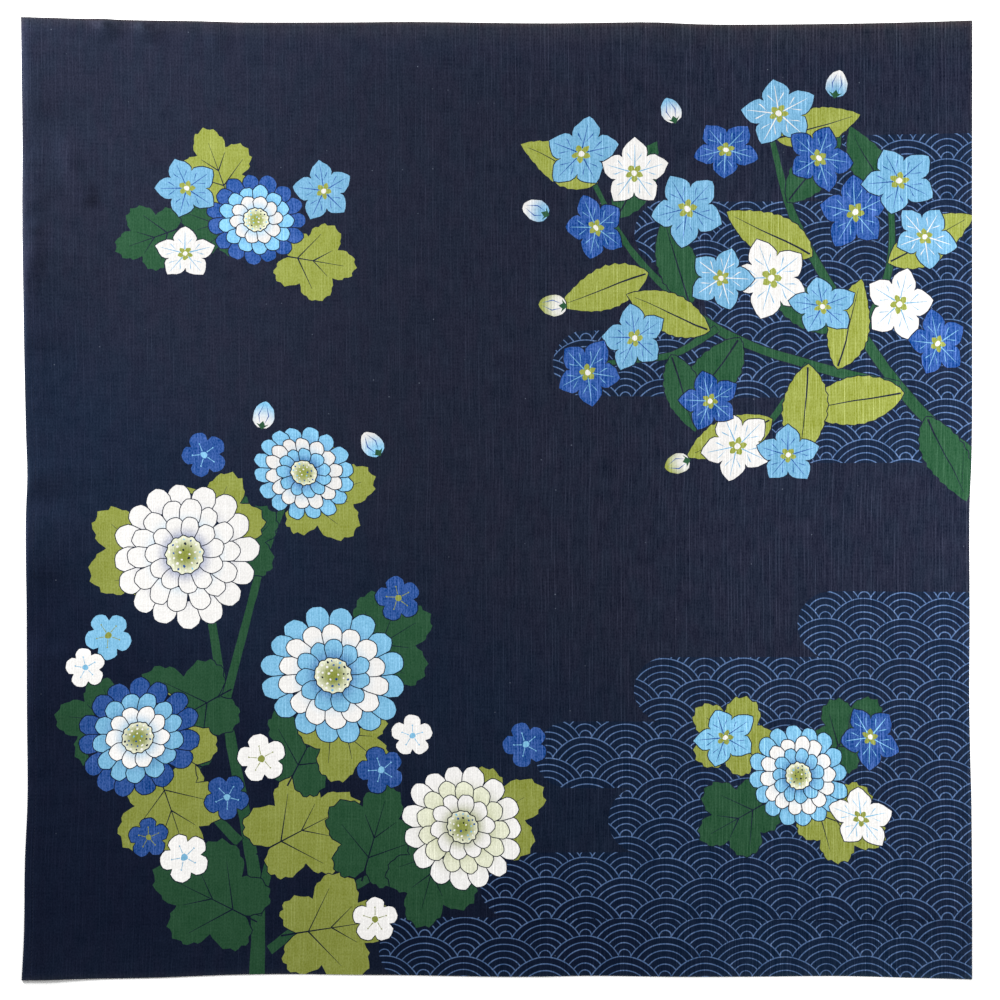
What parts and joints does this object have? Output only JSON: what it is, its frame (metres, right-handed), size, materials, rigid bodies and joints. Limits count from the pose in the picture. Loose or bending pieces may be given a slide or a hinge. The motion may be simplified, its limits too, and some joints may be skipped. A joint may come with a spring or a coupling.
{
  "type": "furoshiki",
  "caption": "Square wrapping cloth of printed slub cotton, laid flat face up, with turned side hems, firm selvedges and a few soft ripples",
  "frame": {"origin": "under the middle of the cloth's box, on the surface that the cloth lies on", "axes": "+X runs across the cloth from the left hem to the right hem, +Y up to the top selvedge, +Z out of the printed face"},
  "size_m": [1.04, 1.053, 0.0045],
  "materials": {
    "cotton": "printed navy slub cotton, matt"
  },
  "bodies": {
    "root": {"cloth": "cotton"}
  },
  "joints": []
}
